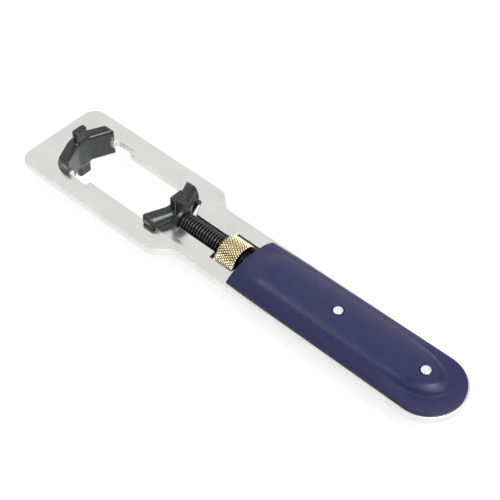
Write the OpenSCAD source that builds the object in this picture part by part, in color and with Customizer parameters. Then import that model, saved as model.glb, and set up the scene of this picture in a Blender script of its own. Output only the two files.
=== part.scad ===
// Adjustable two-jaw case back opener. Millimetres, +X from the jaws to the handle end, +Z up.
// The origin is under the middle of the tool, at the height of the lower ends of the jaw tips.

/* [Frame plate] */
// Overall length of the plate
plate_len = 150; // [145:1:160]
// Width of the head
head_w = 30.6; // [28:0.2:34]
// Width of the handle part
tail_w = 21.7; // [20:0.1:24]
// Plate thickness
plate_t = 2.4; // [2:0.1:2.6]
// Radius of the two front corners
head_r = 4.3; // [2:0.1:6]
// Distance from the front edge to the start of the neck
neck_start = 54.3; // [53:0.1:56]
// Length of the slanted neck
neck_len = 5.1; // [4:0.1:7]

/* [Window] */
// Width between the two rails
rail_gap = 15.9; // [15:0.1:17]
// Width of the stretch that lets the jaws in
entry_w = 19.4; // [19:0.1:21]
// Where that stretch starts and ends, from the front edge
entry_span = [16.2, 23]; // [16:0.1:24]
// Width of the slot for the lead screw
slot_w = 6.8; // [6.6:0.1:7.2]
// Where the window's slanted rear end meets the slot
window_end = 54.5; // [54:0.1:56]
// Where the nut window starts and ends
nut_span = [68.4, 76.7]; // [68:0.1:78]
// Width of the nut window
nut_window_w = 11.6; // [11.4:0.1:12.4]
// Rear end of the channel for the screw
channel_end = 107.7; // [107:0.1:107.8]

/* [Jaws] */
// Span across the wings
jaw_w = 18.6; // [17:0.1:19]
// Depth of a wing at its outer end
wing_end_depth = 3.6; // [3:0.1:4]
// The same where the wing meets the plate, its back leaning outwards
wing_foot_depth = 4.9; // [3.6:0.1:5.5]
// How far the inner V runs back to the flat in the middle
v_depth = 3.1; // [2.5:0.1:3.2]
// Depth of the jaw in the middle
jaw_depth = 7; // [6.8:0.1:7.2]
// Width of the gripping tip
tip_w = 4.6; // [3.5:0.1:5]
// Depth of the gripping tip
tip_t = 2.2; // [1.8:0.1:2.4]
// How far the fixed and the moving jaw's tips stand back from the ends of the wings
tip_back = [3.5, 4.4]; // [3.3:0.1:4.5]
// Height of the fixed and the moving jaw's wings above or below the plate
wing_h = [3.6, 3.3]; // [2.4:0.1:3.8]
// Chamfer along the outer edges of the wings
wing_cut = 0.8; // [0.2:0.1:1]
// Height of a tip above or below the plate
tip_h = 7.6; // [6:0.1:8]
// Where the fixed jaw's wings end, from the front edge
fixed_at = 15.2; // [15:0.1:15.4]
// Where the moving jaw's wings end, from the front edge
moving_at = 45.5; // [20:0.5:47]
// Sliding clearance of the moving jaw on the plate
slide_gap = 0.12; // [0.05:0.01:0.2]

/* [Screw and nut] */
// Outer diameter of the lead screw
screw_d = 6; // [6:0.1:6.1]
// Thread pitch
pitch = 1; // [0.8:0.05:1.25]
// Length of the lead screw
screw_len = 55.5; // [50:0.5:56]
// Outer diameter of the knurled nut
nut_d = 9.8; // [9:0.1:11.2]
// Gaps between the nut and the front and rear end of its window
nut_gap = [0.9, 0.3]; // [0.1:0.1:2]
// Radial running clearance of the screw in the nut
thread_gap = 0.05; // [0.02:0.01:0.1]

/* [Handle] */
// Front end of the scales, from the front edge of the plate
scale_start = 78.4; // [78:0.1:80]
// Thickness of the flange round the hump
flange_t = 1; // [0.8:0.1:1.4]
// How far the upper scale's flange stands in from the plate's rim at its front and rear end
upper_inset = [1.15, 0.55]; // [0.1:0.05:2]
// The same for the lower scale
lower_inset = [1.8, 1.3]; // [0.1:0.05:2]
// Height of the hump above the plate
hump_h = 4.8; // [4:0.1:5]
// Height of the hump at its front end
nose_h = 3.3; // [3:0.1:3.8]
// Width of the hump between its shoulders, where its rounded top starts
hump_w = 13; // [12:0.1:14]
// Height of the hump's shoulders
shoulder_h = 3.4; // [3:0.1:4]
// Distance of the two rivets from the front edge
rivet_at = [109.4, 138.2]; // [109.3:0.1:139]
// Rivet diameter
rivet_d = 2.8; // [2.6:0.1:3.4]

/* [Hidden] */
$fn = 64;
arc_steps = 10;

// Every place along the tool is measured from the front edge of the plate.
front_x = -plate_len / 2;
mid_z = plate_t / 2 + tip_h;
jaw_neck_d = 6.4;
jaw_neck_len = 0.7;
socket_depth = 3.7;
cheek_gap = 0.15;
nut_chamfer = 0.5;
hump_side = 5.1;
hump_end_w = 13.6;
hump_rear = 5.1;
hump_taper = 11.4;
flank_fade = 7.5;
top_steps = 9;
nose_run = 8;
scale_corner = 1.5;
rivet_proud = 0.25;
thread_depth = 0.54 * pitch;

function unit(v) = v / norm(v);

// The arc that rounds corner b between its neighbours a and c.
function fillet(a, b, c) =
    b[2] == 0 ? [[b.x, b.y]] :
    let (p = [b.x, b.y],
         u = unit([a.x, a.y] - p),
         w = unit([c.x, c.y] - p),
         half = acos(u * w) / 2,
         centre = p + unit(u + w) * b[2] / sin(half),
         start = p + u * b[2] / tan(half) - centre,
         finish = p + w * b[2] / tan(half) - centre,
         sweep = 180 - 2 * half)
    [for (i = [0:arc_steps])
        centre + (start * sin(sweep * (1 - i / arc_steps)) + finish * sin(sweep * i / arc_steps)) / sin(sweep)];

// Corners are [x, y, radius], going round the outline.
function rounded(corners) =
    let (n = len(corners))
    [for (i = [0:n - 1]) each fillet(corners[(i + n - 1) % n], corners[i], corners[(i + 1) % n])];

// Completes an outline that is the same on both sides of the X axis.
function both_sides(half) =
    concat(half, [for (i = [len(half) - 1:-1:0]) [half[i].x, -half[i].y, half[i][2]]]);

function plate_outline() = both_sides([
    [0, head_w / 2, head_r],
    [neck_start, head_w / 2, 4.2],
    [neck_start + neck_len, tail_w / 2, 2.4],
    [plate_len, tail_w / 2, tail_w / 2 - 0.02]]);

// The window's slanted ends follow the back of a jaw.
jaw_back_slope = (jaw_depth - wing_end_depth) / (jaw_w / 2 - 2.5);
end_slant = jaw_back_slope * (rail_gap - slot_w) / 2;
window_start = fixed_at - wing_end_depth - jaw_back_slope * (jaw_w - slot_w) / 2;

function window_outline() = both_sides([
    [window_start, slot_w / 2, 0.3],
    [window_start + end_slant, rail_gap / 2, 0.3],
    [entry_span[0], rail_gap / 2, 0.3],
    [entry_span[0], entry_w / 2, 0.6],
    [entry_span[1], entry_w / 2, 0.6],
    [entry_span[1], rail_gap / 2, 0.4],
    [window_end - end_slant, rail_gap / 2, 0.5],
    [window_end, slot_w / 2, 0.3],
    [nut_span[0], slot_w / 2, 0.3],
    [nut_span[0], nut_window_w / 2, 0.5],
    [nut_span[1], nut_window_w / 2, 0.5],
    [nut_span[1], slot_w / 2, 0.3],
    [channel_end, slot_w / 2, 0.5]]);

module rivet_holes(height) {
    for (x = rivet_at)
        translate([front_x + x, 0, mid_z])
            cylinder(d = rivet_d, h = height, center = true);
}

module frame_plate() {
    color("gainsboro")
    difference() {
        translate([front_x, 0, mid_z - plate_t / 2])
            linear_extrude(plate_t)
                difference() {
                    polygon(rounded(plate_outline()));
                    polygon(rounded(window_outline()));
                }
        rivet_holes(plate_t + 2);
    }
}

// Plan of a jaw: wings in a V, ends towards -X, back towards +X. `reach` is its half span and
// `end_depth` the depth of its wings at their ends.
module jaw_plan(reach, end_depth) {
    slope = v_depth / ((jaw_w - tip_w) / 2);
    end_x = slope * (jaw_w / 2 - reach);
    back_x = end_depth + (jaw_depth - end_depth) / (jaw_w / 2 - 2.5) * (jaw_w / 2 - reach);
    polygon([
        [end_x, reach], [v_depth, tip_w / 2], [v_depth, -tip_w / 2], [end_x, -reach],
        [back_x, -reach], [jaw_depth, -2.5], [jaw_depth, 2.5], [back_x, reach]]);
}

// A convex outline made solid in two steps; a hull over them cuts its upper edges off at 45 degrees.
module chamfered(height, cut) {
    linear_extrude(height - cut)
        children();
    linear_extrude(height)
        offset(delta = -cut)
            children();
}

// A wing seen from above, run on behind the tip. `end_depth` is its depth at its end.
module wing_plan(end_depth) {
    slope = v_depth / ((jaw_w - tip_w) / 2);
    polygon([
        [0, jaw_w / 2], [v_depth + slope * tip_w, -tip_w / 2],
        [jaw_depth, -tip_w / 2], [jaw_depth, 2.5], [end_depth, jaw_w / 2]]);
}

// Both wings and the middle of a jaw above the plate.
module jaw_wings(height) {
    middle = tip_w / 2 + wing_cut;
    intersection() {
        linear_extrude(height)
            jaw_plan(jaw_w / 2, wing_foot_depth);
        union() {
            for (side = [0, 1])
                mirror([0, side, 0])
                    hull() {
                        linear_extrude(0.2)
                            wing_plan(wing_foot_depth);
                        chamfered(height, wing_cut)
                            wing_plan(wing_end_depth);
                    }
            hull()
                chamfered(height, wing_cut)
                    translate([v_depth, -middle])
                        square([jaw_depth - v_depth, 2 * middle]);
        }
    }
}

// The casting, symmetric about the plate, with `gap` between it and the plate and its tip at `tip_x`.
module jaw_casting(gap, tip_x, height) {
    lip_z = plate_t / 2 + gap;
    for (side = [0, 1])
        mirror([0, 0, side]) {
            translate([0, 0, lip_z])
                jaw_wings(height - gap);
            translate([tip_x, -tip_w / 2, 0])
                cube([tip_t, tip_w, plate_t / 2 + tip_h]);
        }
    linear_extrude(2 * lip_z, center = true)
        jaw_plan(rail_gap / 2 - cheek_gap, wing_end_depth);
}

module fixed_jaw() {
    color("dimgray")
    translate([front_x + fixed_at, 0, mid_z])
        mirror([1, 0, 0])
            jaw_casting(0, tip_back[0], wing_h[0]);
}

screw_front = moving_at + jaw_depth + jaw_neck_len - socket_depth;

module moving_jaw() {
    color("dimgray")
    difference() {
        translate([front_x + moving_at, 0, mid_z]) {
            jaw_casting(slide_gap, tip_back[1], wing_h[1]);
            translate([jaw_depth - 1, 0, 0])
                rotate([0, 90, 0])
                    cylinder(d = jaw_neck_d, h = 1 + jaw_neck_len);
        }
        translate([front_x + screw_front, 0, mid_z])
            rotate([0, 90, 0])
                cylinder(d = screw_d, h = socket_depth + 1);
    }
}

// Half profile of the rod: plain where the jaw holds it, then one ridge for each turn of the thread.
function screw_profile() =
    let (crest = screw_d / 2,
         root = crest - thread_depth,
         first = socket_depth + pitch / 2,
         turns = floor((screw_len - first - 0.5) / pitch))
    concat(
        [[0, 0], [crest, 0], [crest, socket_depth], [root, first]],
        [for (i = [0:turns - 1]) each [
            [crest, first + (i + 0.45) * pitch],
            [crest, first + (i + 0.55) * pitch],
            [root, first + (i + 1) * pitch]]],
        [[root, screw_len], [0, screw_len]]);

module lead_screw() {
    color("black")
    translate([front_x + screw_front, 0, mid_z])
        rotate([0, 90, 0])
            rotate_extrude()
                polygon(screw_profile());
}

module adjusting_nut() {
    bore_r = screw_d / 2 + thread_gap;
    nut_len = nut_span[1] - nut_span[0] - nut_gap[0] - nut_gap[1];
    color("goldenrod")
    translate([front_x + nut_span[0] + nut_gap[0], 0, mid_z])
        rotate([0, 90, 0])
            rotate_extrude()
                polygon([
                    [bore_r, 0],
                    [nut_d / 2 - nut_chamfer, 0],
                    [nut_d / 2, nut_chamfer],
                    [nut_d / 2, nut_len - nut_chamfer],
                    [nut_d / 2 - nut_chamfer, nut_len],
                    [bore_r, nut_len]]);
}

// The flange widens towards the rear, where it follows the round end of the plate.
module flange_plan(inset) {
    end_r = tail_w / 2 - inset[1];
    polygon(rounded(both_sides([
        [scale_start, tail_w / 2 - inset[0], scale_corner],
        [plate_len - inset[1], end_r, end_r - 0.2]])));
}

// Cross-section of the hump: sloping flanks up to the shoulders, then a shallow arc.
module hump_section() {
    rise = hump_h - shoulder_h;
    top_r = (pow(hump_w / 2, 2) + pow(rise, 2)) / (2 * rise);
    half_angle = asin(hump_w / 2 / top_r);
    polygon(concat(
        [[hump_w / 2 + hump_side, 0]],
        [for (i = [0:top_steps])
            let (a = half_angle * (1 - 2 * i / top_steps))
            [top_r * sin(a), hump_h - top_r * (1 - cos(a))]],
        [[-hump_w / 2 - hump_side, 0]]));
}

// Side view of the hump: it rises from the nose to its full height.
module hump_side_view() {
    polygon([
        [scale_start, 0], [scale_start, nose_h], [scale_start + nose_run, hump_h + 0.01],
        [plate_len, hump_h + 0.01], [plate_len, 0]]);
}

// Plan of the hump: clear of its flanks at first, then drawn in to the foot of its elliptical end.
module hump_plan() {
    wide = hump_w / 2 + hump_side + 0.1;
    run = plate_len - hump_rear - hump_taper;
    polygon(concat(
        [[run - flank_fade, -wide], [scale_start - 1, -wide],
         [scale_start - 1, wide], [run - flank_fade, wide]],
        [for (i = [0:2 * arc_steps])
            let (a = 90 * i / arc_steps)
            [run + hump_taper * sin(a), hump_end_w / 2 * cos(a)]]));
}

module hump() {
    intersection() {
        rotate([90, 0, 90])
            linear_extrude(plate_len)
                hump_section();
        rotate([90, 0, 0])
            linear_extrude(tail_w + 2, center = true)
                hump_side_view();
        translate([0, 0, -1])
            linear_extrude(hump_h + 2)
                hump_plan();
    }
}

// One scale, lying on the face of the plate, with the channel for the screw underneath.
module scale_body(inset) {
    difference() {
        translate([front_x, 0, mid_z + plate_t / 2]) {
            linear_extrude(flange_t)
                flange_plan(inset);
            intersection() {
                hump();
                linear_extrude(hump_h + 1)
                    flange_plan(inset);
            }
        }
        translate([front_x + scale_start - 1, 0, mid_z])
            rotate([0, 90, 0])
                cylinder(d = slot_w, h = channel_end - scale_start + 1);
        rivet_holes(40);
    }
}

module upper_scale() {
    color("darkslateblue")
    scale_body(upper_inset);
}

module lower_scale() {
    color("darkslateblue")
    translate([0, 0, mid_z])
        mirror([0, 0, 1])
            translate([0, 0, -mid_z])
                scale_body(lower_inset);
}

// A pin through the handle with a low domed end on each side.
module rivet(x) {
    shank = plate_t + 2 * hump_h;
    dome_r = (pow(rivet_d / 2, 2) + pow(rivet_proud, 2)) / (2 * rivet_proud);
    color("white")
    translate([front_x + x, 0, mid_z])
        intersection() {
            cylinder(d = rivet_d, h = shank + 2 * rivet_proud, center = true);
            for (side = [0, 1])
                mirror([0, 0, side])
                    translate([0, 0, shank / 2 + rivet_proud - dome_r])
                        sphere(r = dome_r);
        }
}

module front_rivet() { rivet(rivet_at[0]); }
module rear_rivet() { rivet(rivet_at[1]); }

frame_plate();
fixed_jaw();
moving_jaw();
lead_screw();
adjusting_nut();
upper_scale();
lower_scale();
front_rivet();
rear_rivet();
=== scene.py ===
"""Looks of the adjustable two-jaw case back opener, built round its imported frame.

Shapes are written in tool coordinates: millimetres, x from the front edge of the plate towards the
handle, y across, z above the middle of the plate, which is also the screw's axis.
"""

import math

import bmesh
import bpy
import numpy as np
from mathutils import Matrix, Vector


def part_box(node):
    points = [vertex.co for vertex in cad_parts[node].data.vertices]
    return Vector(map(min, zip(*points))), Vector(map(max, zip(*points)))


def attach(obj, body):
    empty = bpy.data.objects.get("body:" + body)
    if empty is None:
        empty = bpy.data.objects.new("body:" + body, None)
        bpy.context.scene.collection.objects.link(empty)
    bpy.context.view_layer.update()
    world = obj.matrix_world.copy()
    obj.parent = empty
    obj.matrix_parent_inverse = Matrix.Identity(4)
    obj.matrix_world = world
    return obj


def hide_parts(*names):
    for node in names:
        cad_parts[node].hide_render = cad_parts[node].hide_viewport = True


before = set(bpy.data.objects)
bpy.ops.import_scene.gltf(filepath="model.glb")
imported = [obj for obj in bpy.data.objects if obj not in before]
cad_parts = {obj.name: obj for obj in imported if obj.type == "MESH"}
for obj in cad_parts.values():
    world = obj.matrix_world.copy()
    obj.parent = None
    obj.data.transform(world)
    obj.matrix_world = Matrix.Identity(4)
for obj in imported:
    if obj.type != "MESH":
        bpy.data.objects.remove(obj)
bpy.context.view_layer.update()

MM = 0.001
MERGE = 2e-7
plate_lo, plate_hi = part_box("frame_plate")
ORIGIN = np.array([plate_lo.x, 0.0, (plate_lo.z + plate_hi.z) / 2])


def reach(node):
    """Lowest and highest corner of a CAD node in tool coordinates."""
    lo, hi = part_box(node)
    return (np.array(lo) - ORIGIN) / MM, (np.array(hi) - ORIGIN) / MM


PLATE = reach("frame_plate")
FIXED = reach("fixed_jaw")
MOVING = reach("moving_jaw")
SCREW = reach("lead_screw")
NUT = reach("adjusting_nut")
UPPER = reach("upper_scale")
LOWER = reach("lower_scale")
RIVETS = [reach("front_rivet"), reach("rear_rivet")]
FACE = PLATE[1][2]
LENGTH = PLATE[1][0]


# ---------------------------------------------------------------- mesh helpers


def add_object(name, data):
    made = bpy.data.objects.new(name, data)
    bpy.context.scene.collection.objects.link(made)
    return made


def mesh_from(name, points, faces):
    """A mesh from tool coordinates."""
    mesh = bpy.data.meshes.new(name)
    places = np.asarray(points, float) * MM + ORIGIN
    mesh.from_pydata(places.tolist(), [], [list(map(int, f)) for f in faces])
    return mesh


def clean(mesh):
    """Merges the points that coincide and turns every face outwards."""
    work = bmesh.new()
    work.from_mesh(mesh)
    bmesh.ops.remove_doubles(work, verts=work.verts, dist=MERGE)
    bmesh.ops.recalc_face_normals(work, faces=work.faces)
    work.to_mesh(mesh)
    work.free()
    return mesh


def finish_piece(name, mesh, body, nodes, material, sharp=40):
    """A shaded piece that rides on `body` in place of the CAD `nodes`.

    Edges that turn by more than `sharp` degrees stay sharp.
    """
    clean(mesh)
    mesh.shade_smooth()
    mesh.set_sharp_from_angle(angle=math.radians(sharp))
    piece = add_object(name, mesh)
    mesh.materials.clear()
    mesh.materials.append(material)
    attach(piece, body)
    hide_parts(*nodes)
    return piece


def grid_faces(rows, columns, wrap=False):
    """Quads of a grid of points stored row by row; `wrap` joins the last column to the first."""
    faces = []
    for i in range(rows - 1):
        for j in range(columns if wrap else columns - 1):
            k = (j + 1) % columns
            faces.append((i * columns + j, i * columns + k, (i + 1) * columns + k, (i + 1) * columns + j))
    return faces


def smoothstep(a, b, x):
    """0 up to `a`, 1 from `b` on, with a smooth rise between them."""
    s = np.clip((np.asarray(x, float) - a) / (b - a), 0, 1)
    return s * s * (3 - 2 * s)


def unit(v):
    return v / np.linalg.norm(v)


def rounded(corners, steps=10):
    """An outline of [x, y, radius] corners as points, each corner an arc."""
    out, n = [], len(corners)
    for i, (x, y, radius) in enumerate(corners):
        b = np.array([x, y])
        if not radius:
            out.append(b)
            continue
        u = unit(np.array(corners[i - 1][:2]) - b)
        w = unit(np.array(corners[(i + 1) % n][:2]) - b)
        half = math.acos(np.clip(u @ w, -1, 1)) / 2
        centre = b + unit(u + w) * radius / math.sin(half)
        start = b + u * radius / math.tan(half) - centre
        end = b + w * radius / math.tan(half) - centre
        sweep = math.pi - 2 * half
        for k in range(steps + 1):
            a = sweep * k / steps
            out.append(centre + (start * math.sin(sweep - a) + end * math.sin(a)) / math.sin(sweep))
    return np.array(out)


def both_sides(half):
    """Completes an outline that is the same on both sides of the X axis."""
    return half + [[x, -y, r] for x, y, r in reversed(half)]


def revolve(profile, centre, steps, radius=None):
    """Points of a closed (x, r) profile turned about the tool's X direction at height 0."""
    turn = np.linspace(0, 2 * math.pi, steps, endpoint=False)
    x = np.repeat(np.array(profile)[:, :1], steps, 1)
    r = np.repeat(np.array(profile)[:, 1:], steps, 1)
    if radius is not None:
        r = radius(x, r, turn[None, :])
    return np.stack([x + centre, r * np.cos(turn), r * np.sin(turn)], -1).reshape(-1, 3)


# ---------------------------------------------------------------- implicit solids


def outline_distance(p, corners):
    """Signed distance of points (n, 2) from a closed outline, negative inside."""
    best = np.full(len(p), np.inf)
    inside = np.zeros(len(p), bool)
    for a, b in zip(corners, np.roll(corners, -1, 0)):
        e, w = b - a, p - a
        t = np.clip((w @ e) / (e @ e), 0, 1)
        best = np.minimum(best, ((w - t[:, None] * e) ** 2).sum(1))
        crosses = (a[1] > p[:, 1]) != (b[1] > p[:, 1])
        side = e[0] * w[:, 1] - e[1] * w[:, 0]
        inside ^= crosses & ((side > 0) == (e[1] > 0))
    return np.where(inside, -1, 1) * np.sqrt(best)


def inset(corners, by):
    """The outline moved inwards by `by`, corner by corner."""
    out = []
    n = len(corners)
    area = sum(corners[i - 1][0] * corners[i][1] - corners[i][0] * corners[i - 1][1] for i in range(n))
    turn = 1 if area > 0 else -1
    for i in range(n):
        a, b, c = (np.array(corners[k % n], float) for k in (i - 1, i, i + 1))
        n1 = turn * unit(np.array([-(b - a)[1], (b - a)[0]]))
        n2 = turn * unit(np.array([-(c - b)[1], (c - b)[0]]))
        out.append(b + (n1 + n2) / (1 + n1 @ n2) * by)
    return np.array(out)


def prism(p, outline, z0, z1, plan_r, edge_r):
    """Distance from an upright prism: plan_r rounds its upright edges, edge_r its top and bottom edges."""
    d = outline_distance(p[:, :2], inset(outline, plan_r)) - plan_r + edge_r
    h = np.abs(p[:, 2] - (z0 + z1) / 2) - (z1 - z0) / 2 + edge_r
    return np.minimum(np.maximum(d, h), 0) + np.hypot(np.maximum(d, 0), np.maximum(h, 0)) - edge_r


def rod(p, x0, x1, radius, edge_r):
    """Distance from a rod along X at height 0."""
    d = np.hypot(p[:, 1], p[:, 2]) - radius + edge_r
    h = np.abs(p[:, 0] - (x0 + x1) / 2) - (x1 - x0) / 2 + edge_r
    return np.minimum(np.maximum(d, h), 0) + np.hypot(np.maximum(d, 0), np.maximum(h, 0)) - edge_r


def blend(a, b, k):
    """Smooth union: the two shapes meet in a fillet of about k."""
    h = np.maximum(k - np.abs(a - b), 0) / k
    return np.minimum(a, b) - h * h * k / 4


def smooth_max(a, b, k):
    """Smooth intersection: the edge between the two shapes is rounded by about k."""
    return -blend(-a, -b, k)


def surface(solid, lo, hi, step):
    """Quad mesh of solid(points) = 0 by surface nets, its points then moved exactly on the surface."""
    probe, rounds, least_slope = 0.01, 5, 0.2
    lo, hi = np.array(lo, float), np.array(hi, float)
    n = np.ceil((hi - lo) / step).astype(int) + 1
    axes = [lo[i] + step * np.arange(n[i]) for i in range(3)]
    grid = np.stack(np.meshgrid(*axes, indexing="ij"), -1)
    value = solid(grid.reshape(-1, 3)).reshape(n)
    inside = value < 0
    cell = [slice(0, -1), slice(1, None)]
    count = sum(inside[cell[i], cell[j], cell[k]].astype(int) for i in (0, 1) for j in (0, 1) for k in (0, 1))
    mixed = (count > 0) & (count < 8)
    index = np.full(mixed.shape, -1)
    index[mixed] = np.arange(mixed.sum())
    points = grid[:-1, :-1, :-1][mixed] + step / 2
    faces = []
    for axis in range(3):
        b, c = (axis + 1) % 3, (axis + 2) % 3
        low = [slice(None)] * 3
        high = [slice(None)] * 3
        low[axis], high[axis] = slice(0, -1), slice(1, None)
        change = inside[tuple(low)] != inside[tuple(high)]
        starts = inside[tuple(low)]
        for at in np.argwhere(change):
            if at[b] == 0 or at[c] == 0 or at[b] >= mixed.shape[b] or at[c] >= mixed.shape[c]:
                continue
            quad = []
            for db, dc in ((1, 1), (0, 1), (0, 0), (1, 0)):
                q = at.copy()
                q[b] -= db
                q[c] -= dc
                quad.append(index[tuple(q)])
            faces.append(quad if starts[tuple(at)] else quad[::-1])
    for _ in range(rounds):
        f = solid(points)
        g = np.stack([solid(points + d) - solid(points - d) for d in np.eye(3) * probe], -1) / (2 * probe)
        points = points - (f / np.maximum((g * g).sum(1), least_slope))[:, None] * g
    return points, faces


# ---------------------------------------------------------------- materials


class Shader:
    """A Principled material and short ways to add nodes to it."""

    def __init__(self, name, **sockets):
        self.material = bpy.data.materials.new(name)
        self.material.use_nodes = True
        self.tree = self.material.node_tree
        self.principled = self.tree.nodes["Principled BSDF"]
        for key, value in sockets.items():
            self.principled.inputs[key.replace("_", " ")].default_value = value
        self.place = self.add("ShaderNodeTexCoord").outputs["Object"]

    def add(self, kind, inputs=None, **settings):
        """A node with its inputs linked, where they are sockets, or set."""
        made = self.tree.nodes.new(kind)
        for key, value in settings.items():
            setattr(made, key, value)
        for key, value in (inputs or {}).items():
            socket = made.inputs[key]
            if isinstance(value, bpy.types.NodeSocket):
                self.tree.links.new(value, socket)
            else:
                socket.default_value = value
        return made

    def noise(self, scale, detail=3, roughness=0.5, stretch=(1, 1, 1)):
        """Noise with `scale` features per millimetre."""
        spread = self.add("ShaderNodeMapping", {"Vector": self.place, "Scale": stretch})
        return self.add(
            "ShaderNodeTexNoise",
            {"Vector": spread.outputs[0], "Scale": scale / MM, "Detail": detail, "Roughness": roughness},
        ).outputs["Fac"]

    def ramp(self, factor, stops):
        """Greys or colours over a factor: [(place, grey or colour)]."""
        made = self.add("ShaderNodeValToRGB", {"Fac": factor})
        ramp = made.color_ramp
        while len(ramp.elements) < len(stops):
            ramp.elements.new(0.5)
        for element, (at, value) in zip(ramp.elements, stops):
            element.position = at
            element.color = value if isinstance(value, tuple) else (value, value, value, 1)
        return made.outputs["Color"]

    def split(self):
        """x, y and z of the place on the piece."""
        return self.add("ShaderNodeSeparateXYZ", {0: self.place}).outputs

    def math(self, operation, *values):
        return self.add("ShaderNodeMath", dict(enumerate(values)), operation=operation).outputs[0]

    def radius(self):
        """Distance from the screw's axis in millimetres."""
        x, y, z = self.split()
        off = self.math("SUBTRACT", z, float(ORIGIN[2]))
        return self.math("MULTIPLY", self.math("SQRT", self.math(
            "ADD", self.math("MULTIPLY", y, y), self.math("MULTIPLY", off, off))), 1 / MM)

    def height(self):
        """Height above or below the middle of the plate in millimetres."""
        off = self.math("SUBTRACT", self.split()[2], float(ORIGIN[2]))
        return self.math("MULTIPLY", self.math("ABSOLUTE", off), 1 / MM)

    def band(self, value, low, high):
        """0 up to `low` and 1 from `high` on, or the other way round where `high` is the smaller."""
        return self.add("ShaderNodeMapRange", {"Value": value, "From Min": low, "From Max": high}).outputs[0]

    def mix(self, factor, a, b):
        return self.add("ShaderNodeMix", {"Factor": factor, 6: a, 7: b}, data_type="RGBA").outputs[2]

    def join(self, socket, value):
        self.tree.links.new(value, self.principled.inputs[socket])

    def bump(self, heights):
        """Bumps laid over each other: [(height socket, strength, depth in mm)]."""
        normal = None
        for height, strength, depth in heights:
            inputs = {"Height": height, "Strength": strength, "Distance": depth * MM}
            if normal is not None:
                inputs["Normal"] = normal
            normal = self.add("ShaderNodeBump", inputs).outputs["Normal"]
        self.join("Normal", normal)


def plate_material():
    """Polished nickel on the faces, dull rims, and painted shade: the walls beside the screw and the nut are
    coloured dark grey.
    """
    s = Shader("plate_nickel", Metallic=1.0)
    tint = s.ramp(s.noise(0.09, 5, 0.6), [(0.3, (0.73, 0.74, 0.70, 1)), (0.7, (0.80, 0.80, 0.795, 1))])
    along, aside = (s.math("MULTIPLY", s.math("ABSOLUTE", way), 1 / MM) for way in s.split()[:2])
    inner = s.math("MULTIPLY", s.band(aside, 6.4, 6.2), s.band(along, 70, 69))
    # Painted shade: the walls of the narrow slot and the nut's room, below the face, are coloured dark grey
    # for the shade that falls in them.
    painted_shade_walls = s.math("MULTIPLY", s.band(s.height(), FACE - 0.05, FACE - 0.25), inner)
    s.join("Base Color", s.mix(painted_shade_walls, tint, (0.14, 0.14, 0.14, 1)))
    face = s.ramp(s.noise(0.25, 4, 0.6), [(0.35, 0.18), (0.75, 0.24)])
    s.join("Roughness", s.mix(s.band(s.height(), FACE - 0.02, FACE - 0.002), (0.5, 0.5, 0.5, 1), face))
    s.bump([(s.noise(0.1, 2), 0.12, 0.08), (s.noise(6, 2, stretch=(0.15, 1, 1)), 0.03, 0.01)])
    return s.material


def jaw_material():
    """Black oxide under a film of oil."""
    s = Shader("jaw_black_oxide", Metallic=0.0, Specular_IOR_Level=0.42, Coat_Weight=0.4,
               Coat_Roughness=0.25)
    patch = s.noise(0.5, 4, 0.6)
    s.join("Base Color", s.ramp(patch, [(0.3, (0.003, 0.0035, 0.0035, 1)), (0.75, (0.011, 0.012, 0.012, 1))]))
    s.join("Roughness", s.ramp(s.noise(1.5, 3), [(0.3, 0.26), (0.7, 0.38)]))
    s.bump([(s.noise(4, 3, 0.6), 0.2, 0.03), (s.noise(0.7, 2), 0.3, 0.08)])
    return s.material


def screw_material():
    """Black oxide, with a painted highlight: the crests of the thread are coloured a lighter, metallic grey.
    """
    s = Shader("screw_black_oxide", Roughness=0.24)
    # Painted highlight: a band on the crests gets a lighter grey and turns metallic, standing in for the
    # glints along the thread.
    crest = s.band(s.radius(), 2.95, 2.985)
    s.join("Base Color", s.mix(crest, (0.003, 0.003, 0.0035, 1), (0.2, 0.2, 0.197, 1)))
    s.join("Metallic", crest)
    s.bump([(s.noise(6, 2), 0.1, 0.01)])
    return s.material


def brass_material():
    """Bright brass, with painted shade: the cuts of the knurl are coloured dark."""
    s = Shader("nut_brass", Metallic=1.0)
    bright = s.ramp(s.noise(0.6, 3), [(0.3, (0.95, 0.82, 0.50, 1)), (0.7, (1.0, 0.90, 0.62, 1))])
    # Painted shade: below the knurl's crest radius the brass is coloured dark brown, standing in for the
    # shade in the cuts.
    s.join("Base Color", s.mix(s.band(s.radius(), 4.58, 4.80), (0.035, 0.024, 0.012, 1), bright))
    s.join("Roughness", s.ramp(s.noise(3, 3), [(0.3, 0.22), (0.7, 0.36)]))
    s.bump([(s.noise(8, 2), 0.08, 0.01)])
    return s.material


def grip_material():
    """Dark blue plastic: smooth and glossy on top, grained and matt on the flanks."""
    s = Shader("grip_plastic", Metallic=0.0)
    smooth = s.band(s.height(), FACE + 3.0, FACE + 3.7)
    top = s.ramp(s.noise(0.35, 4, 0.6), [(0.3, (0.007, 0.007, 0.052, 1)), (0.75, (0.012, 0.0115, 0.07, 1))])
    side = s.ramp(s.noise(1.6, 4, 0.7), [(0.35, (0.002, 0.002, 0.042, 1)), (0.7, (0.006, 0.0055, 0.066, 1))])
    s.join("Base Color", s.mix(smooth, side, top))
    gloss = s.ramp(s.noise(0.8, 4), [(0.3, 0.26), (0.7, 0.38)])
    s.join("Roughness", s.mix(smooth, (0.6, 0.6, 0.6, 1), gloss))
    grain = s.math("MULTIPLY", s.noise(2.6, 3, 0.7), s.math("SUBTRACT", 1.0, smooth))
    s.bump([(grain, 1.0, 0.12), (s.noise(3.2, 3, 0.6), 0.18, 0.03), (s.noise(0.25, 2), 0.14, 0.1)])
    return s.material


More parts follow.
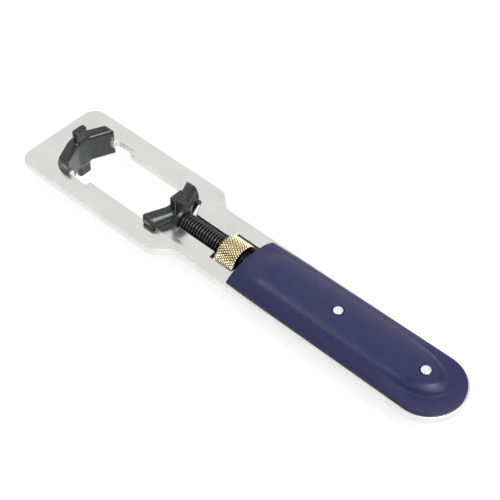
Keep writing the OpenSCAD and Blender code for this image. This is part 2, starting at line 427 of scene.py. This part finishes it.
def rivet_material():
    """Plain aluminium, slightly dulled."""
    s = Shader("rivet_aluminium", Metallic=1.0)
    s.join("Base Color", s.ramp(s.noise(1, 2), [(0.3, 0.88), (0.7, 0.95)]))
    s.join("Roughness", s.ramp(s.noise(3, 3), [(0.3, 0.3), (0.7, 0.45)]))
    s.bump([(s.noise(5, 2), 0.1, 0.01)])
    return s.material


PLATE_LOOK = plate_material()
JAW_LOOK = jaw_material()
SCREW_LOOK = screw_material()
BRASS_LOOK = brass_material()
GRIP_LOOK = grip_material()
RIVET_LOOK = rivet_material()


# ---------------------------------------------------------------- plate

# Half widths of the plate and of its window.
HEAD, TAIL = PLATE[1][1], 10.85
SLOT, RAIL, ENTRY, NUT_ROOM = 3.4, 7.95, 9.7, 5.8
# Places along the tool: the neck, the window's slanted ends, where the jaws go in, the nut's room.
NECK = 54.3, 59.4
WINDOW_FRONT, WINDOW_REAR = (8.64, 10.92), (52.23, 54.5)
ENTRY_SPAN = 16.2, 23
NUT_SPAN = 68.4, 76.7
CHANNEL_END = 107.7


def make_plate():
    """The nickel-plated plate with its window, edges broken by a small radius."""
    edge = 0.28
    outline = both_sides([
        [0, HEAD, 4.3], [NECK[0], HEAD, 4.2], [NECK[1], TAIL, 2.4], [LENGTH, TAIL, TAIL - 0.02]])
    window = both_sides([
        [WINDOW_FRONT[0], SLOT, 0.3], [WINDOW_FRONT[1], RAIL, 0.3],
        [ENTRY_SPAN[0], RAIL, 0.3], [ENTRY_SPAN[0], ENTRY, 0.6],
        [ENTRY_SPAN[1], ENTRY, 0.6], [ENTRY_SPAN[1], RAIL, 0.4],
        [WINDOW_REAR[0], RAIL, 0.5], [WINDOW_REAR[1], SLOT, 0.3],
        [NUT_SPAN[0], SLOT, 0.3], [NUT_SPAN[0], NUT_ROOM, 0.5],
        [NUT_SPAN[1], NUT_ROOM, 0.5], [NUT_SPAN[1], SLOT, 0.3],
        [CHANNEL_END, SLOT, 0.5]])
    curve = bpy.data.curves.new("plate_outline", "CURVE")
    curve.dimensions, curve.fill_mode = "2D", "BOTH"
    curve.extrude = FACE * MM - edge * MM
    curve.bevel_depth, curve.bevel_resolution, curve.offset = edge * MM, 3, -edge * MM
    for corners in (outline, window):
        points = rounded(corners, 14)
        spline = curve.splines.new("POLY")
        spline.points.add(len(points) - 1)
        for point, (x, y) in zip(spline.points, points):
            point.co = (x * MM + ORIGIN[0], y * MM, ORIGIN[2], 1)
        spline.use_cyclic_u = True
    holder = add_object("plate_outline", curve)
    mesh = bpy.data.meshes.new_from_object(holder.evaluated_get(bpy.context.evaluated_depsgraph_get()))
    bpy.data.objects.remove(holder)
    # A flat curve loses the height of its points.
    for v in mesh.vertices:
        v.co.z += ORIGIN[2] if abs(v.co.z) < 0.5 * ORIGIN[2] else 0
    return finish_piece("plate", mesh, "frame", ["frame_plate"], PLATE_LOOK, sharp=50)


# ---------------------------------------------------------------- jaws

# A tip's width and depth; a jaw's half span, its depth in the middle, its V's depth, half of its flat back.
TIP_W, TIP_T = 4.6, 2.2
JAW_W, JAW_T, V_DEPTH, BACK_FLAT = 9.3, 7.0, 3.1, 2.5
NECK_R, SOCKET_R = 3.2, 2.55
# The step of the jaws' grid, and the half width and half height that the grid fills.
JAW_STEP, JAW_ROOM = 0.15, (9.6, 9.1)


def jaw_solid(tip_x, wing_top, gap, neck, soft, tip_soft):
    """A jaw with the ends of its wings at x = 0; their back leans outwards towards the plate.

    `soft` rounds the top of the wings along the V, along the back and at their ends, and the ends' corners;
    `tip_soft` rounds the tip's upright edges and its top.
    """
    slope, back, lean = V_DEPTH / (JAW_W - TIP_W / 2), 0.5, 0.19
    tip = np.array([
        [tip_x, -TIP_W / 2], [tip_x + TIP_T, -TIP_W / 2], [tip_x + TIP_T, TIP_W / 2], [tip_x, TIP_W / 2]])

    def solid(p):
        """Distance from the jaw: its plan, its wings and tips, and its core in the window."""
        q = p.copy()
        q[:, 2] = np.abs(q[:, 2])
        x, y, z = q[:, 0], np.abs(q[:, 1]), q[:, 2]
        v_side = blend(V_DEPTH - x, (V_DEPTH - slope * (y - TIP_W / 2) - x) / math.hypot(1, slope), 0.3)
        upright = smooth_max(x - JAW_T, (x - JAW_T + back * (y - BACK_FLAT)) / math.hypot(1, back), 1.0)
        lower = lean * np.clip((wing_top - z) / (wing_top - FACE), 0, 1) * np.maximum(y - BACK_FLAT, 0)
        back_side = upright - lower / math.hypot(1, back)
        plan = smooth_max(v_side, back_side, 0.3)
        edge = soft[0] + (soft[1] - soft[0]) * smoothstep(-0.6, 0.6, back_side - v_side)
        edge += (soft[2] - edge) * smoothstep(-0.6, 0.3, y - JAW_W - plan)
        wings = smooth_max(smooth_max(plan, y - JAW_W, soft[3]), z - wing_top, edge)
        wings = smooth_max(wings, FACE + gap - z, 0.3)
        wings = blend(wings, prism(q, tip, wing_top - 0.8, MOVING[1][2], *tip_soft), 0.8)
        core = smooth_max(smooth_max(v_side, upright, 0.3), y - RAIL + 0.15, 0.4)
        core = smooth_max(core, z - FACE - gap - 0.5, 0.1)
        body = np.minimum(wings, core)
        # The neck, with the socket that takes the screw.
        if neck:
            body = blend(body, rod(q, 4, JAW_T + neck, NECK_R, 0.25), 1.1)
            body = np.maximum(body, -rod(q, 5.2, 12, SOCKET_R, 0.05))
        return body

    return solid


def make_jaw(name, node, body, place, solid, neck=0, flip=False):
    """A jaw with the ends of its wings at `place`; `flip` turns its V towards the handle."""
    margin, (side, top) = 0.3, JAW_ROOM
    points, faces = surface(solid, (-margin, -side, -top), (JAW_T + neck + margin, side, top), JAW_STEP)
    if flip:
        points = points * [-1, 1, 1]
        faces = [f[::-1] for f in faces]
    mesh = mesh_from(name, points + [place, 0, 0], faces)
    return finish_piece(name, mesh, body, [node], JAW_LOOK)


def make_jaws():
    """The fixed jaw on the plate and the moving one, which has a neck for the screw."""
    fixed = jaw_solid(
        tip_x=3.5, wing_top=FACE + 3.6, gap=0.0, neck=0.0, soft=(1.3, 0.6, 0.8, 0.4), tip_soft=(0.9, 0.6))
    make_jaw("jaw_fixed", "fixed_jaw", "frame", FIXED[1][0], fixed, flip=True)
    neck = MOVING[1][0] - MOVING[0][0] - JAW_T
    moving = jaw_solid(
        tip_x=4.4, wing_top=FACE + 3.3, gap=0.12, neck=neck, soft=(0.4, 2.4, 1.2, 0.9), tip_soft=(0.4, 0.35))
    make_jaw("jaw_moving", "moving_jaw", "jaw", MOVING[0][0], moving, neck)


# ---------------------------------------------------------------- screw and nut


def make_screw():
    """The M6 rod with its helical thread, from inside the jaw's neck to its chamfered rear end."""
    start, end, pitch, crest, depth = MOVING[1][0] - 1.2, SCREW[1][0], 1.0, 2.98, 0.54
    steps, per_turn = 56, 14
    x = np.arange(0, end - start, pitch / per_turn)
    x = np.append(x, end - start)

    def radius(along, _, turn):
        phase = np.mod(along / pitch - turn / (2 * math.pi), 1)
        ridge = np.clip((np.abs(2 * phase - 1) - 0.1) / 0.76, 0, 1)
        ridge = ridge * smoothstep(1.2, 2.4, along)
        r = crest - depth + depth * ridge
        return np.minimum(r, crest - depth + 0.1 + (end - start - along))

    points = revolve(np.stack([x, x * 0], -1), start, steps, radius)
    faces = grid_faces(len(x), steps, True)
    faces += [tuple(range(steps))[::-1], tuple((len(x) - 1) * steps + i for i in range(steps))]
    mesh = mesh_from("screw_thread", points, faces)
    return finish_piece("screw_thread", mesh, "jaw", ["lead_screw"], SCREW_LOOK)


def make_nut():
    """The brass nut, diamond knurled between its two chamfers."""
    start, length, outer, cut = NUT[0][0], NUT[1][0] - NUT[0][0], NUT[1][2] - 0.01, 0.5
    bore, mouth, bevel = 3.07, 3.5, 0.7
    body = np.linspace(cut * 0.7, length - cut, 72)
    profile = [[bevel, bore], [0, mouth], [0, 3.6], [0, outer - cut], [0.05, outer - cut * 0.8]]
    first = len(profile)
    profile += [[x, outer] for x in body]
    last = len(profile)
    profile += [
        [length - 0.12, outer - cut * 0.7], [length - 0.03, outer - cut * 0.95], [length, outer - cut - 0.1],
        [length, 3.6], [length, mouth], [length - bevel, bore]]
    around, slant, depth = 36, 1.45, 0.36

    def radius(x, r, turn):
        along = x * around / (2 * math.pi * outer * slant)
        one = np.mod(turn * around / (2 * math.pi) + along, 1)
        two = np.mod(turn * around / (2 * math.pi) - along, 1)
        groove = np.minimum(1 - np.abs(2 * one - 1), 1 - np.abs(2 * two - 1))
        pit = depth * (1 - np.clip(groove / 0.5, 0, 1))
        r = r.copy()
        r[first:last] -= pit[first:last]
        return r

    steps = around * 14
    points = revolve(profile, start, steps, radius)
    rows = len(profile)
    faces = grid_faces(rows, steps, True)
    for j in range(steps):
        k = (j + 1) % steps
        faces.append((j, (rows - 1) * steps + j, (rows - 1) * steps + k, k))
    mesh = mesh_from("nut_knurled", points, faces)
    return finish_piece("nut_knurled", mesh, "nut", ["adjusting_nut"], BRASS_LOOK)


# ---------------------------------------------------------------- handle

FRONT = UPPER[0][0]
# Where the hump ends and where its sides start to close in, and half its width at the ridges.
HUMP_END, HUMP_TURN, RIDGE = 144.95, 133.5, 6.85
# Places where the contours' widths are given, and where they come down to their height round the end.
EARLY, MIDDLE, LATE = 86, 109, 138
REAR_FALL = 127, 140
# From the front end, how far the contours take to reach their width and their height.
WIDTH_RUN, HEIGHT_RUN = 12, 8
# How far the upper and the lower scale stand in from the plate's rim at their front end.
INSETS = 1.15, 1.8
# Radius, floor above the plate and depth of cut of a rivet's counterbore.
BORE_R, BORE_FLOOR, BORE_CUT = 1.7, 3.9, 3.0


def contour(front_y, wide, rear_x, centre_x, height, front_h, rear_h):
    """Half of a U-shaped contour of a scale, from its front end round to the middle of its rear end."""
    return dict(front_y=front_y, wide=wide, rear_x=rear_x, centre_x=centre_x, height=height,
                front_h=front_h, rear_h=rear_h)


def trace(c, straight=60, turn=26):
    """Points of a contour: `straight` of them along the side, then `turn` round the end."""
    x = np.linspace(FRONT, c["centre_x"], straight)
    y = np.interp(x, *c["wide"])
    y = c["front_y"] + (y - c["front_y"]) * smoothstep(FRONT - 0.5, FRONT + WIDTH_RUN, x)
    angle = np.linspace(0, math.pi / 2, turn)[1:]
    x = np.append(x, c["centre_x"] + (c["rear_x"] - c["centre_x"]) * np.sin(angle))
    y = np.append(y, y[straight - 1] * np.cos(angle))
    h = c["front_h"] + (c["height"] - c["front_h"]) * np.clip((x - FRONT) / HEIGHT_RUN, 0, 1)
    h += (c["rear_h"] - c["height"]) * smoothstep(*REAR_FALL, x)
    return np.stack([x, y, h], -1)


def scale_contours(front_y, side_y, rear_x):
    """Contours from the foot of the flange to the spine of the hump."""

    def flange(by, height, front_h):
        """A contour of the scale's rim, set in by `by`."""
        wide = ([FRONT, LATE], [front_y - by, side_y - by])
        return contour(front_y - by, wide, rear_x - by, rear_x - side_y, height, front_h, min(height, 1.05))

    def flank(share, end, height, rear_h, front_h):
        """A contour `share` of the way from the ridge to the rim, and `end` of it at the round end."""
        half = RIDGE + (side_y - RIDGE) * share
        front_half = RIDGE + (front_y - RIDGE) * share
        wide = ([FRONT, MIDDLE, LATE], [front_half, half - 0.1, half])
        centre = HUMP_TURN + (half - RIDGE) * 2.2
        rear = HUMP_END + (rear_x - HUMP_END) * end
        return contour(front_half, wide, rear, centre, height, front_h, rear_h)

    def hump(half, end, height, rear_h, front_h):
        """A contour of the crowned top, `half` wide to each side, with its round end at `end`."""
        wide = ([FRONT, EARLY, MIDDLE, HUMP_TURN], [half * 0.96, half * 0.97, half, half])
        return contour(half, wide, end, HUMP_TURN, height, front_h, rear_h)

    return [
        flange(0, 0, 0), flange(0, 0.3, 0.15), flange(0, 0.6, 0.35), flange(0.06, 0.8, 0.45),
        flange(0.2, 0.95, 0.6), flange(0.45, 1.12, 0.8),
        flank(0.72, 0.75, 1.55, 1.2, 1.1), flank(0.54, 0.57, 1.95, 1.36, 1.42),
        flank(0.33, 0.38, 2.42, 1.5, 1.7), flank(0.12, 0.16, 2.86, 1.58, 1.97),
        flank(0.02, 0.03, 3.06, 1.68, 2.12), hump(6.68, 144.85, 3.2, 2.1, 2.25),
        hump(6.46, 144.5, 3.34, 2.68, 2.35), hump(6.2, 143.9, 3.48, 3.12, 2.43),
        hump(5.8, 143.0, 3.66, 3.5, 2.55), hump(5.2, 142.2, 3.88, 3.88, 2.68),
        hump(4.4, 140.8, 4.13, 4.14, 2.82), hump(3.4, 138.9, 4.38, 4.38, 2.98),
        hump(1.9, 136.1, 4.65, 4.65, 3.13), hump(0.0001, HUMP_TURN + 0.01, 4.78, 4.78, 3.2)]


def chaikin(keys):
    """Corner cutting along the first axis; the two ends stay."""
    a, b = keys[:-1], keys[1:]
    cut = np.empty((2 * len(a),) + keys.shape[1:])
    cut[0::2], cut[1::2] = a * 0.75 + b * 0.25, a * 0.25 + b * 0.75
    return np.concatenate([keys[:1], cut[1:-1], keys[-1:]])


def cylinder(place, axis, radius, length, steps=64):
    """A cutting cylinder in tool coordinates."""
    made = bmesh.new()
    bmesh.ops.create_cone(made, cap_ends=True, segments=steps, radius1=radius * MM, radius2=radius * MM,
                          depth=length * MM)
    mesh = bpy.data.meshes.new("cutter")
    made.to_mesh(mesh)
    made.free()
    cutter = add_object("cutter", mesh)
    cutter.location = Vector(np.array(place) * MM + ORIGIN)
    cutter.rotation_euler = Vector(axis).to_track_quat("Z", "Y").to_euler()
    return cutter


def cut_away(mesh, cutters):
    """The mesh with the cutters taken out of it; the cutters are used up."""
    body = add_object("blank", mesh)
    for cutter in cutters:
        change = body.modifiers.new("cut", "BOOLEAN")
        change.operation, change.solver, change.object = "DIFFERENCE", "EXACT", cutter
    result = bpy.data.meshes.new_from_object(body.evaluated_get(bpy.context.evaluated_depsgraph_get()))
    for used in [body] + cutters:
        bpy.data.objects.remove(used)
    return result


def scale_cutters(side):
    """The channel for the screw, and for each rivet its hole and counterbore."""
    ahead, hole_cut = 4, 8
    length = CHANNEL_END - FRONT + ahead
    cutters = [cylinder([CHANNEL_END - length / 2, 0, 0], (1, 0, 0), SLOT, length)]
    for lo, hi in RIVETS:
        at, hole_r = (lo[0] + hi[0]) / 2, (hi[1] - lo[1]) / 2 + 0.02
        bore_z = FACE + BORE_FLOOR + BORE_CUT / 2
        cutters.append(cylinder([at, 0, side * bore_z], (0, 0, 1), BORE_R, BORE_CUT, 48))
        cutters.append(cylinder([at, 0, side * (FACE + 2)], (0, 0, 1), hole_r, hole_cut, 48))
    return cutters


def make_scale(name, node, side, box, front_y):
    """One moulded scale. `side` is 1 above the plate and -1 below it."""
    keys = np.array([trace(c) for c in scale_contours(front_y, box[1][1], box[1][0])])
    keys[-1, :, 1] = 0
    keys = chaikin(chaikin(keys))
    keys[:, -1, 1] = 0
    rows, columns = keys.shape[:2]
    points, faces = [], []
    for mirror in (1, -1):
        base = len(points)
        points += (keys.reshape(-1, 3) * [1, mirror, 1]).tolist()
        faces += [tuple(base + i for i in f) for f in grid_faces(rows, columns)]
    half = rows * columns
    faces += [(j, j + 1, half + j + 1, half + j) for j in range(columns - 1)]
    front = [i * columns for i in range(rows)]
    faces.append(tuple(front) + tuple(half + i for i in reversed(front[:-1])))
    points = (np.array(points) + [0, 0, FACE]) * [1, 1, side]
    mesh = cut_away(clean(mesh_from(name, points, faces)), scale_cutters(side))
    return finish_piece(name, mesh, "frame", [node], GRIP_LOOK)


def make_rivet(name, node, span, steps=48):
    """A rivet with a low domed head on both sides of the handle."""
    clear, rise = 0.03, 0.27
    centre, top = (span[0][0] + span[1][0]) / 2, span[1][2]
    radius = (span[1][1] - span[0][1]) / 2 - clear
    profile = [[radius * r, top - rise * r * r] for r in (0.001, 0.3, 0.55, 0.75, 0.9, 0.97)]
    profile += [[radius, top - rise - 0.06], [radius, 0]]
    profile += [[r, -z] for r, z in reversed(profile[:-1])]
    turn = np.linspace(0, 2 * math.pi, steps, endpoint=False)
    points = [[centre + r * math.cos(a), r * math.sin(a), z] for r, z in profile for a in turn]
    mesh = mesh_from(name, points, grid_faces(len(profile), steps, True))
    return finish_piece(name, mesh, "frame", [node], RIVET_LOOK)


make_plate()
make_jaws()
make_screw()
make_nut()
make_scale("scale_upper", "upper_scale", 1, UPPER, TAIL - INSETS[0])
make_scale("scale_lower", "lower_scale", -1, LOWER, TAIL - INSETS[1])
make_rivet("rivet_front", "front_rivet", RIVETS[0])
make_rivet("rivet_rear", "rear_rivet", RIVETS[1])


# ---------------------------------------------------------------- floor, light, camera


def make_floor():
    """A plain pale floor just under the tool, lit a little from itself."""
    half, drop = 3.0, 0.0002
    mesh = bpy.data.meshes.new("floor")
    corners = [(-half, -half, 0), (half, -half, 0), (half, half, 0), (-half, half, 0)]
    mesh.from_pydata(corners, [], [(0, 1, 2, 3)])
    floor = add_object("floor", mesh)
    s = Shader("floor_pale", Roughness=0.9, Specular_IOR_Level=0.0)
    s.principled.inputs["Base Color"].default_value = (0.2, 0.2, 0.2, 1)
    s.principled.inputs["Emission Color"].default_value = (1, 1, 1, 1)
    s.principled.inputs["Emission Strength"].default_value = 0.86
    mesh.materials.append(s.material)
    floor.location.z = -drop


def make_world():
    """Even soft light, brighter towards the horizon."""
    world = bpy.data.worlds.new("studio")
    bpy.context.scene.world = world
    world.use_nodes = True
    tree = world.node_tree
    background = tree.nodes["Background"]
    background.inputs["Color"].default_value = (1, 1, 1, 1)
    way = tree.nodes.new("ShaderNodeSeparateXYZ")
    tree.links.new(tree.nodes.new("ShaderNodeTexCoord").outputs["Generated"], way.inputs[0])
    fall = tree.nodes.new("ShaderNodeMapRange")
    tree.links.new(way.outputs[2], fall.inputs["Value"])
    for socket, value in (("From Min", 0.1), ("From Max", 0.35), ("To Min", 0.92), ("To Max", 0.42)):
        fall.inputs[socket].default_value = value
    tree.links.new(fall.outputs[0], background.inputs["Strength"])


def make_softbox(name, direction, distance, size, radiance):
    """A square of even light looking at the tool; `radiance` is what a mirror would show."""
    light = bpy.data.lights.new(name, "AREA")
    light.shape, light.size, light.size_y = "RECTANGLE", size[0], size[1]
    light.energy = radiance * math.pi * size[0] * size[1]
    lamp = add_object(name, light)
    lamp.location = Vector(direction).normalized() * distance
    lamp.rotation_euler = Vector(direction).to_track_quat("Z", "Y").to_euler()


def make_camera():
    """Looks down on the tool from the handle's near side; azimuth is counted from looking along +Y."""
    azimuth, elevation, distance = math.radians(42.515), math.radians(47.363), 0.3805
    target = Vector((ORIGIN[0] + 0.075086, 0.003436, ORIGIN[2] + FACE * MM))
    back = Vector((math.sin(azimuth) * math.cos(elevation), -math.cos(azimuth) * math.cos(elevation),
                   math.sin(elevation)))
    data = bpy.data.cameras.new("camera")
    camera = add_object("camera", data)
    camera.location = target + back * distance
    camera.rotation_euler = back.to_track_quat("Z", "Y").to_euler()
    data.lens, data.sensor_width = 99.41, 36
    data.clip_start, data.clip_end = 0.01, 20
    bpy.context.scene.camera = camera


make_floor()
make_world()
make_softbox("back_left", (-0.46, 0.50, 0.73), 0.9, (1.1, 1.1), 0.5)
make_softbox("overhead", (0.62, -0.03, 0.78), 1.5, (0.94, 0.94), 9.5)
make_softbox("ridge", (-0.46, -0.30, 0.84), 0.9, (0.28, 0.28), 5.0)
make_camera()
bpy.context.scene.view_settings.view_transform = "Standard"
